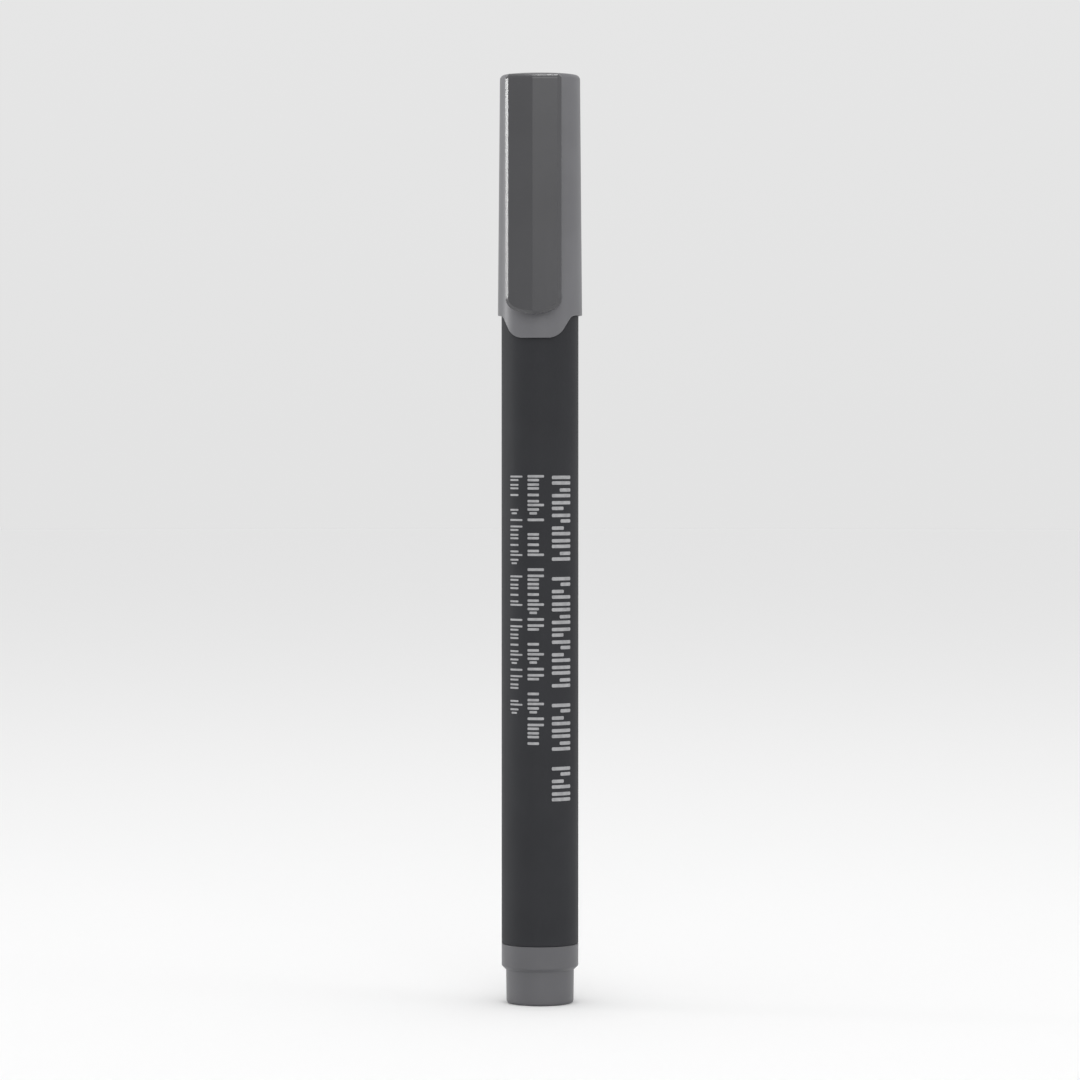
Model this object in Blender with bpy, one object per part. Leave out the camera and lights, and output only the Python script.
"""A capped fibre-tip counterfeit detector pen, standing on its tail with the cap up.

The frame's origin is the middle of the tail plug's flat end. +Z runs along the pen towards the cap,
and the pocket clip is on the -Y side. All sizes below are in metres.
"""

import math

import bmesh
import bpy
from mathutils import Matrix

MM = 0.001

# Driving dimensions
PEN_LENGTH = 140.0 * MM
BARREL_RADIUS = 5.8 * MM
BARREL_WALL = 0.95 * MM
CAP_MOUTH_RADIUS = 6.35 * MM
CAP_TOP_RADIUS = 6.03 * MM
CAP_RIM_Z = 103.8 * MM
GAP = 0.3 * MM  # between pieces that touch on the real pen

# Tail plug: a stub for posting the cap, a collar flush with the barrel, and a spigot inside it
STUB_LENGTH = 5.2 * MM
STUB_RADIUS = 5.14 * MM
STUB_END_RADIUS = 5.07 * MM
STUB_EDGE = 0.45 * MM
COLLAR_TOP_Z = 9.0 * MM
COLLAR_BEVEL = 0.5 * MM
PLUG_FLOOR = 1.3 * MM
PLUG_BORE_RADIUS = 3.3 * MM
PLUG_TOP_Z = 16.0 * MM

# Barrel
BARREL_END_Z = COLLAR_TOP_Z + GAP
BARREL_BORE_RADIUS = BARREL_RADIUS - BARREL_WALL
SHOULDER_Z = 107.0 * MM
MOUTH_Z = 111.0 * MM
NECK_RADIUS = 5.1 * MM
NECK_BORE_RADIUS = 4.35 * MM
NECK_BORE_Z = 105.5 * MM

# Front section, which holds the nib
SECTION_REAR_Z = 101.0 * MM
SECTION_FLANGE_TOP_Z = 112.6 * MM
SECTION_LAND_RADIUS = 4.15 * MM
SECTION_BEAD_RADIUS = 4.3 * MM
SECTION_BEAD_Z = 114.4 * MM
SECTION_CONE_Z = 117.0 * MM
SECTION_TIP_Z = 127.0 * MM
SECTION_TIP_RADIUS = 2.75 * MM
SECTION_REAR_BORE_RADIUS = 3.3 * MM

# Nib and ink reservoir
NIB_RADIUS = 1.75 * MM
NIB_REAR_Z = 93.5 * MM
NIB_TIP_Z = 132.6 * MM
NIB_POINT_LENGTH = 2.4 * MM
RESERVOIR_FOOT_Z = PLUG_TOP_Z + GAP
RESERVOIR_TOP_Z = SECTION_REAR_Z - GAP
CORE_RADIUS = 3.8 * MM
WRAP_INNER_RADIUS = 4.08 * MM
WRAP_RADIUS = 4.28 * MM
BREATHER_RADIUS = 0.65 * MM
BREATHER_BORE_RADIUS = 0.35 * MM
BREATHER_OFFSET = 3.05 * MM

# Cap and its inner seal
SKIRT_BORE_RADIUS = 6.01 * MM
CAP_SEAT_Z = SHOULDER_Z + GAP
CAP_BORE_MOUTH_RADIUS = 5.4 * MM
CAP_BORE_TOP_RADIUS = 5.3 * MM
CAP_CEILING_Z = 138.6 * MM
CAP_TOP_EDGE = 0.7 * MM
TONGUE_DEPTH = 3.4 * MM
TONGUE_HALF_WIDTH = 5.8 * MM  # where its sides run out into the rim
TONGUE_CORNER = 2.6 * MM
TONGUE_ROOT_FILLET = 0.9 * MM
TONGUE_SIDE_SLOPE = 62.0  # degrees from the rim
SEAL_RADIUS = 5.0 * MM
SEAL_BORE_RADIUS = 4.5 * MM
SEAL_MOUTH_Z = SECTION_FLANGE_TOP_Z + GAP
SEAL_TOP_Z = CAP_CEILING_Z - GAP
SEAL_ROOF = 0.8 * MM

# Pocket clip
CLIP_HALF_WIDTH = 4.2 * MM
CLIP_BACK_Y = -7.3 * MM
CLIP_EDGE_Y = -8.25 * MM
CLIP_RIDGE_Y = -8.7 * MM
CLIP_BEVEL = 0.55 * MM
CLIP_END_Z = 103.9 * MM
CLIP_TOP_Z = 139.7 * MM
CLIP_END_RADIUS = 5.4 * MM
CLIP_BRIDGE_HALF_WIDTH = 3.3 * MM
CLIP_BRIDGE_HEIGHT = 3.0 * MM
CLIP_BEND_RADIUS = 1.1 * MM
CLIP_BUMP_Z = 106.0 * MM
CLIP_BUMP_RADIUS = 1.8 * MM
CLIP_BUMP_HEIGHT = 0.65 * MM

ROUND_SEGMENTS = 48
THIN_SEGMENTS = 24
REACH = 12.0 * MM  # how far a cutter runs past what it cuts

# Colour (linear RGB), roughness and metallic value of each moulding
CAP_GREY = ((0.125, 0.125, 0.135, 1.0), 0.5, 0.0)
CLIP_GREY = ((0.085, 0.085, 0.092, 1.0), 0.4, 0.0)
BARREL_BLACK = ((0.022, 0.022, 0.025, 1.0), 0.28, 0.0)
SECTION_BLACK = ((0.02, 0.02, 0.022, 1.0), 0.45, 0.0)
SEAL_NATURAL = ((0.72, 0.73, 0.7, 1.0), 0.5, 0.0)
NIB_FELT = ((0.72, 0.56, 0.24, 1.0), 0.95, 0.0)
FIBRE_CORE = ((0.78, 0.66, 0.36, 1.0), 0.95, 0.0)
WRAP_FILM = ((0.8, 0.82, 0.84, 1.0), 0.3, 0.0)
BREATHER_WHITE = ((0.8, 0.8, 0.8, 1.0), 0.4, 0.0)


def clear_scene():
    for thing in list(bpy.data.objects):
        bpy.data.objects.remove(thing, do_unlink=True)


def material(name, finish):
    colour, roughness, metallic = finish
    made = bpy.data.materials.new(name)
    made.use_nodes = True
    shader = made.node_tree.nodes["Principled BSDF"]
    shader.inputs["Base Color"].default_value = colour
    shader.inputs["Roughness"].default_value = roughness
    shader.inputs["Metallic"].default_value = metallic
    return made


def add_object(name, mesh_data, finish=None):
    """Links a mesh as an object; without a finish it is a cutter, which only shapes other pieces."""
    thing = bpy.data.objects.new(name, mesh_data)
    bpy.context.scene.collection.objects.link(thing)
    if finish is None:
        thing.hide_render = True
        thing.display_type = "WIRE"
    else:
        thing.data.materials.append(material(name, finish))
        thing.data.shade_smooth()
        thing.data.set_sharp_from_angle(angle=math.radians(35))
    return thing


def arc(centre_r, centre_z, radius, start_degrees, end_degrees, steps):
    """Points of an arc in the (radius, height) plane; 0 degrees points outwards and 90 up."""
    points = []
    for step in range(steps + 1):
        turn = math.radians(start_degrees + (end_degrees - start_degrees) * step / steps)
        points.append((centre_r + radius * math.cos(turn), centre_z + radius * math.sin(turn)))
    return points


def turned(name, profile, finish=None, segments=ROUND_SEGMENTS):
    """A solid of revolution about Z from a closed outline of (radius, height) points."""
    shape = bmesh.new()
    points = [shape.verts.new((radius, 0.0, height)) for radius, height in profile]
    outline = [
        shape.edges.new((point, points[(index + 1) % len(points)]))
        for index, point in enumerate(points)
        if point.co.x > 1e-9 or points[(index + 1) % len(points)].co.x > 1e-9
    ]
    bmesh.ops.spin(
        shape,
        geom=points + outline,
        cent=(0, 0, 0),
        axis=(0, 0, 1),
        angle=2 * math.pi,
        steps=segments,
        use_merge=True,
    )
    bmesh.ops.remove_doubles(shape, verts=shape.verts, dist=1e-7)
    bmesh.ops.recalc_face_normals(shape, faces=shape.faces)
    mesh_data = bpy.data.meshes.new(name)
    shape.to_mesh(mesh_data)
    shape.free()
    return add_object(name, mesh_data, finish)


def prism(name, outline, plane, start, end, finish=None):
    """A closed outline pulled straight along the axis that its plane ("XZ", "YZ" or "XY") leaves out."""
    corner = {
        "XZ": lambda u, v: (u, start, v),
        "YZ": lambda u, v: (start, u, v),
        "XY": lambda u, v: (u, v, start),
    }[plane]
    along = {"XZ": (0, end - start, 0), "YZ": (end - start, 0, 0), "XY": (0, 0, end - start)}[plane]
    shape = bmesh.new()
    face = shape.faces.new([shape.verts.new(corner(u, v)) for u, v in outline])
    grown = bmesh.ops.extrude_face_region(shape, geom=[face])
    moved = [item for item in grown["geom"] if isinstance(item, bmesh.types.BMVert)]
    bmesh.ops.translate(shape, verts=moved, vec=along)
    bmesh.ops.recalc_face_normals(shape, faces=shape.faces)
    mesh_data = bpy.data.meshes.new(name)
    shape.to_mesh(mesh_data)
    shape.free()
    return add_object(name, mesh_data, finish)


def cut(piece, cutter, operation="DIFFERENCE"):
    modifier = piece.modifiers.new(operation.title() + " " + cutter.name, "BOOLEAN")
    modifier.operation = operation
    modifier.solver = "EXACT"
    modifier.object = cutter


def cap_radius_at(height):
    """Outer radius of the cap's slightly tapered wall, at any height."""
    share = (height - CAP_RIM_Z) / (PEN_LENGTH - CAP_RIM_Z)
    return CAP_MOUTH_RADIUS + share * (CAP_TOP_RADIUS - CAP_MOUTH_RADIUS)


def make_tail_plug():
    """Hollow plug: stub, collar that stops on the barrel's end, and a spigot pressed into its bore."""
    spigot_radius = BARREL_BORE_RADIUS - GAP
    profile = [(0, 0)]
    profile += arc(STUB_END_RADIUS - STUB_EDGE, STUB_EDGE, STUB_EDGE, -90, 0, 4)
    profile += [
        (STUB_RADIUS, STUB_LENGTH),
        (BARREL_RADIUS - COLLAR_BEVEL, STUB_LENGTH),
        (BARREL_RADIUS, STUB_LENGTH + COLLAR_BEVEL),
        (BARREL_RADIUS, COLLAR_TOP_Z),
        (spigot_radius, COLLAR_TOP_Z),
        (spigot_radius, PLUG_TOP_Z - GAP),
        (spigot_radius - GAP, PLUG_TOP_Z),
        (PLUG_BORE_RADIUS, PLUG_TOP_Z),
        (PLUG_BORE_RADIUS, PLUG_FLOOR),
        (0, PLUG_FLOOR),
    ]
    return turned("tail_plug", profile, CAP_GREY)


def make_barrel():
    """Open tube with a shoulder for the cap and a neck that takes the front section."""
    lead_in = GAP
    profile = [
        (BARREL_BORE_RADIUS, BARREL_END_Z),
        (BARREL_RADIUS, BARREL_END_Z),
        (BARREL_RADIUS, SHOULDER_Z - lead_in),
        (BARREL_RADIUS - lead_in, SHOULDER_Z),
        (NECK_RADIUS, SHOULDER_Z),
        (NECK_RADIUS, MOUTH_Z),
        (NECK_BORE_RADIUS, MOUTH_Z),
        (NECK_BORE_RADIUS, NECK_BORE_Z),
        (BARREL_BORE_RADIUS, NECK_BORE_Z - (BARREL_BORE_RADIUS - NECK_BORE_RADIUS)),
    ]
    return turned("barrel", profile, BARREL_BLACK)


def make_front_section():
    """Nose moulding: rear spigot, flange, sealing land with its snap bead, and a cone to the nib."""
    spigot_radius = NECK_BORE_RADIUS - GAP
    nib_bore = NIB_RADIUS + GAP
    bead_half_height = 0.5 * MM
    bore_taper_z = SECTION_CONE_Z - 1.5 * MM
    tip_edge = 0.3 * MM
    profile = [
        (spigot_radius, SECTION_REAR_Z),
        (spigot_radius, MOUTH_Z + GAP),
        (NECK_RADIUS, MOUTH_Z + GAP),
        (NECK_RADIUS, SECTION_FLANGE_TOP_Z - tip_edge),
        (NECK_RADIUS - tip_edge, SECTION_FLANGE_TOP_Z),
        (SECTION_LAND_RADIUS, SECTION_FLANGE_TOP_Z),
        (SECTION_LAND_RADIUS, SECTION_BEAD_Z - bead_half_height),
        (SECTION_BEAD_RADIUS, SECTION_BEAD_Z),
        (SECTION_LAND_RADIUS, SECTION_BEAD_Z + bead_half_height),
        (SECTION_LAND_RADIUS, SECTION_CONE_Z),
        (SECTION_TIP_RADIUS, SECTION_TIP_Z - tip_edge),
        (SECTION_TIP_RADIUS - tip_edge, SECTION_TIP_Z),
        (nib_bore, SECTION_TIP_Z),
        (nib_bore, bore_taper_z + (SECTION_REAR_BORE_RADIUS - nib_bore)),
        (SECTION_REAR_BORE_RADIUS, bore_taper_z),
        (SECTION_REAR_BORE_RADIUS, SECTION_REAR_Z),
    ]
    return turned("front_section", profile, SECTION_BLACK)


def make_nib():
    """Bonded fibre rod with a bullet writing end and a tapered end that feeds from the reservoir."""
    point_start = NIB_TIP_Z - NIB_POINT_LENGTH
    rear_taper = 1.2 * MM
    rear_radius = 0.96 * MM
    profile = [(0, NIB_REAR_Z), (rear_radius, NIB_REAR_Z), (NIB_RADIUS, NIB_REAR_Z + rear_taper)]
    point_steps = 5
    for step in range(point_steps + 1):
        turn = math.radians(90 * step / point_steps)
        radius = 0.0 if step == point_steps else NIB_RADIUS * math.cos(turn)
        profile.append((radius, point_start + NIB_POINT_LENGTH * math.sin(turn)))
    return turned("nib", profile, NIB_FELT, THIN_SEGMENTS)


def make_ink_reservoir():
    """Fibre core with a socket for the nib in its front end and a groove for the breather tube."""
    socket_radius = NIB_RADIUS + GAP
    profile = [
        (0, RESERVOIR_FOOT_Z),
        (CORE_RADIUS, RESERVOIR_FOOT_Z),
        (CORE_RADIUS, RESERVOIR_TOP_Z),
        (socket_radius, RESERVOIR_TOP_Z),
        (socket_radius, NIB_REAR_Z - GAP),
        (0, NIB_REAR_Z - GAP),
    ]
    core = turned("ink_reservoir", profile, FIBRE_CORE)
    groove_radius = BREATHER_RADIUS + GAP
    groove_profile = [
        (0, RESERVOIR_FOOT_Z - REACH),
        (groove_radius, RESERVOIR_FOOT_Z - REACH),
        (groove_radius, RESERVOIR_TOP_Z + REACH),
        (0, RESERVOIR_TOP_Z + REACH),
    ]
    groove = turned("breather_groove_cutter", groove_profile, None, THIN_SEGMENTS)
    groove.location.y = BREATHER_OFFSET
    cut(core, groove)
    return core


def make_reservoir_wrap():
    """Film sleeve, open at both ends, that holds the fibre bundle and the breather tube together."""
    profile = [
        (WRAP_INNER_RADIUS, RESERVOIR_FOOT_Z),
        (WRAP_RADIUS, RESERVOIR_FOOT_Z),
        (WRAP_RADIUS, RESERVOIR_TOP_Z),
        (WRAP_INNER_RADIUS, RESERVOIR_TOP_Z),
    ]
    return turned("reservoir_wrap", profile, WRAP_FILM)


def make_breather_tube():
    """Thin tube beside the fibre that lets air past it to the nib end as the ink is used."""
    profile = [
        (BREATHER_BORE_RADIUS, RESERVOIR_FOOT_Z),
        (BREATHER_RADIUS, RESERVOIR_FOOT_Z),
        (BREATHER_RADIUS, RESERVOIR_TOP_Z),
        (BREATHER_BORE_RADIUS, RESERVOIR_TOP_Z),
    ]
    tube = turned("breather_tube", profile, BREATHER_WHITE, THIN_SEGMENTS // 2)
    tube.location.y = BREATHER_OFFSET
    return tube


def tongue_outline():
    """Front outline of what is cut away below the cap's rim, leaving a rounded tongue under the clip."""
    bottom = CAP_RIM_Z - TONGUE_DEPTH
    turn = math.radians(TONGUE_SIDE_SLOPE)
    rounded = TONGUE_CORNER + TONGUE_ROOT_FILLET
    straight = (TONGUE_DEPTH - rounded * (1 - math.cos(turn))) / math.sin(turn)
    flat_end = TONGUE_HALF_WIDTH - rounded * math.sin(turn) - straight * math.cos(turn)
    fillet_z = CAP_RIM_Z - TONGUE_ROOT_FILLET
    right = arc(TONGUE_HALF_WIDTH, fillet_z, TONGUE_ROOT_FILLET, 90, 90 + TONGUE_SIDE_SLOPE, 4)
    right += arc(flat_end, bottom + TONGUE_CORNER, TONGUE_CORNER, TONGUE_SIDE_SLOPE - 90, -90, 6)
    left = [(-across, height) for across, height in reversed(right)]
    low = bottom - REACH
    return [(REACH, low), (REACH, CAP_RIM_Z)] + right + left + [(-REACH, CAP_RIM_Z), (-REACH, low)]


def make_cap_shell(parent):
    """Outer cap: tapered wall, skirt over the barrel's front end, and the tongue below the clip."""
    tongue_z = CAP_RIM_Z - TONGUE_DEPTH
    profile = [
        (SKIRT_BORE_RADIUS, tongue_z),
        (cap_radius_at(tongue_z), tongue_z),
        (CAP_MOUTH_RADIUS, CAP_RIM_Z),
    ]
    top_radius = cap_radius_at(PEN_LENGTH)
    profile += arc(top_radius - CAP_TOP_EDGE, PEN_LENGTH - CAP_TOP_EDGE, CAP_TOP_EDGE, 0, 90, 5)
    profile += [
        (0, PEN_LENGTH),
        (0, CAP_CEILING_Z),
        (CAP_BORE_TOP_RADIUS, CAP_CEILING_Z),
        (CAP_BORE_MOUTH_RADIUS, CAP_SEAT_Z),
        (SKIRT_BORE_RADIUS, CAP_SEAT_Z),
    ]
    shell = turned("cap_shell", profile, CAP_GREY)
    shell.parent = parent
    cut(shell, prism("rim_front_cutter", tongue_outline(), "XZ", -REACH, 0.0))
    low = tongue_z - REACH
    overlap = 0.1 * MM
    back = [(-REACH, low), (REACH, low), (REACH, CAP_RIM_Z), (-REACH, CAP_RIM_Z)]
    cut(shell, prism("rim_back_cutter", back, "XZ", -overlap, REACH))
    return shell


def make_inner_cap(parent):
    """Soft liner that closes over the nose so that the ink doesn't dry."""
    profile = [
        (SEAL_BORE_RADIUS, SEAL_MOUTH_Z),
        (SEAL_RADIUS, SEAL_MOUTH_Z),
        (SEAL_RADIUS, SEAL_TOP_Z - GAP),
        (SEAL_RADIUS - GAP, SEAL_TOP_Z),
        (0, SEAL_TOP_Z),
        (0, SEAL_TOP_Z - SEAL_ROOF),
        (SEAL_BORE_RADIUS, SEAL_TOP_Z - SEAL_ROOF),
    ]
    seal = turned("inner_cap", profile, SEAL_NATURAL)
    seal.parent = parent
    return seal


def clip_side_outline():
    """Side view (Y, Z): bridge to the cap, bend, straight arm, rounded end and the gripping bump."""
    bend_z = CLIP_TOP_Z - CLIP_BEND_RADIUS
    bridge_z = CLIP_TOP_Z - CLIP_BRIDGE_HEIGHT
    inner_fillet = 0.7 * MM
    end_edge = 0.4 * MM
    bump_y = CLIP_BACK_Y + CLIP_BUMP_HEIGHT - CLIP_BUMP_RADIUS
    bump_turn = math.degrees(math.acos(1 - CLIP_BUMP_HEIGHT / CLIP_BUMP_RADIUS))
    outline = [(0.0, CLIP_TOP_Z)]
    outline += arc(CLIP_RIDGE_Y + CLIP_BEND_RADIUS, bend_z, CLIP_BEND_RADIUS, 90, 180, 5)
    outline += arc(CLIP_RIDGE_Y + end_edge, CLIP_END_Z + end_edge, end_edge, 180, 270, 3)
    outline.append((CLIP_BACK_Y, CLIP_END_Z))
    outline += arc(bump_y, CLIP_BUMP_Z, CLIP_BUMP_RADIUS, -bump_turn, bump_turn, 6)
    outline += arc(CLIP_BACK_Y + inner_fillet, bridge_z - inner_fillet, inner_fillet, 180, 90, 3)
    outline.append((0.0, bridge_z))
    return outline


def clip_front_outline():
    """Front view (X, Z): straight sides and a lower end that is one shallow arc."""
    side_z = CLIP_END_Z + CLIP_END_RADIUS - math.sqrt(CLIP_END_RADIUS**2 - CLIP_HALF_WIDTH**2)
    half_turn = math.degrees(math.asin(CLIP_HALF_WIDTH / CLIP_END_RADIUS))
    lower = arc(0, CLIP_END_Z + CLIP_END_RADIUS, CLIP_END_RADIUS, 270 - half_turn, 270 + half_turn, 10)
    above = CLIP_TOP_Z + REACH
    assert side_z < CLIP_BUMP_Z, "the arc must end below the bump"
    return lower + [(CLIP_HALF_WIDTH, above), (-CLIP_HALF_WIDTH, above)]


def clip_section_outline():
    """Section (X, Y): a shallow roof with bevelled edges in front, and a narrower bridge behind."""
    face = CLIP_HALF_WIDTH - CLIP_BEVEL
    bridge = CLIP_BRIDGE_HALF_WIDTH
    right = [
        (face, CLIP_EDGE_Y),
        (CLIP_HALF_WIDTH, CLIP_EDGE_Y + CLIP_BEVEL),
        (CLIP_HALF_WIDTH, CLIP_BACK_Y),
        (bridge, CLIP_BACK_Y),
        (bridge, 0.0),
    ]
    left = [(-across, depth) for across, depth in reversed(right)]
    return [(0.0, CLIP_RIDGE_Y)] + right + left


def make_pocket_clip(parent):
    """The clip is where its side, front and section outlines meet, trimmed clear of the cap's wall."""
    clip = prism("pocket_clip", clip_side_outline(), "YZ", -REACH, REACH, CLIP_GREY)
    front = prism("clip_front_cutter", clip_front_outline(), "XZ", -REACH, REACH)
    section = prism("clip_section_cutter", clip_section_outline(), "XY", 90 * MM, 150 * MM)
    low, high = CLIP_END_Z - REACH, CLIP_TOP_Z + REACH
    wall = [
        (0, low),
        (cap_radius_at(low) + GAP, low),
        (cap_radius_at(high) + GAP, high),
        (0, high),
    ]
    cut(clip, front, "INTERSECT")
    cut(clip, section, "INTERSECT")
    cut(clip, turned("cap_clearance_cutter", wall))
    clip.parent = parent
    return clip


def pivot(name, place, parent=None):
    """An empty on a joint's axis, which the moving pieces hang from."""
    empty = bpy.data.objects.new(name, None)
    bpy.context.scene.collection.objects.link(empty)
    empty.parent = parent
    empty.matrix_world = Matrix.Translation(place)
    return empty


def build():
    clear_scene()
    make_tail_plug()
    make_barrel()
    make_front_section()
    make_nib()
    make_ink_reservoir()
    make_reservoir_wrap()
    make_breather_tube()
    cap_axis = pivot("cap_slide_axis", (0, 0, 0))
    make_cap_shell(cap_axis)
    make_inner_cap(cap_axis)
    make_pocket_clip(cap_axis)


build()
